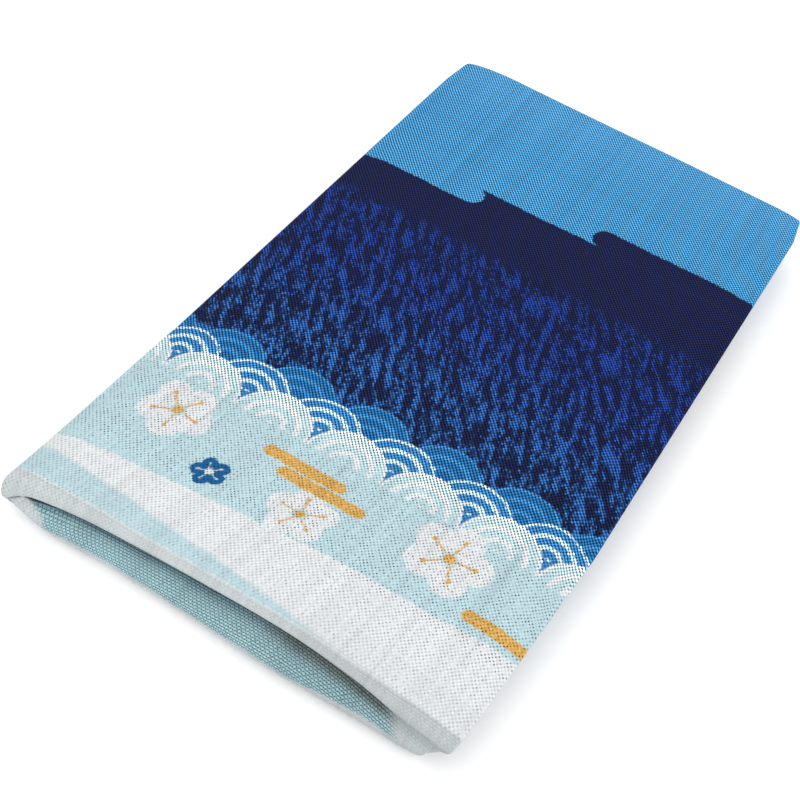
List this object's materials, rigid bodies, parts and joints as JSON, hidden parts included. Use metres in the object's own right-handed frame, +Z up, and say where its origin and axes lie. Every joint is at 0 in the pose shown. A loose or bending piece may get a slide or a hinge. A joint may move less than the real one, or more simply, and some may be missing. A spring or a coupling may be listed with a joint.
{
  "type": "tenugui towel",
  "caption": "Thin flat-woven cotton tenugui towel, lying folded in an oblong stack of layers with a loose, rounded fold at the front.",
  "frame": {"origin": "on the surface that the folded towel lies on, at the middle of the stack", "axes": "+X across the stack, +Y from the loose front fold to the back folds, +Z up out of the printed top"},
  "size_m": [0.1283, 0.2295, 0.0189],
  "materials": {
    "printed_cotton": "matte plain-weave cotton, printed in blues, white and gold"
  },
  "bodies": {
    "root": {"towel_cloth": "printed_cotton"}
  },
  "joints": []
}
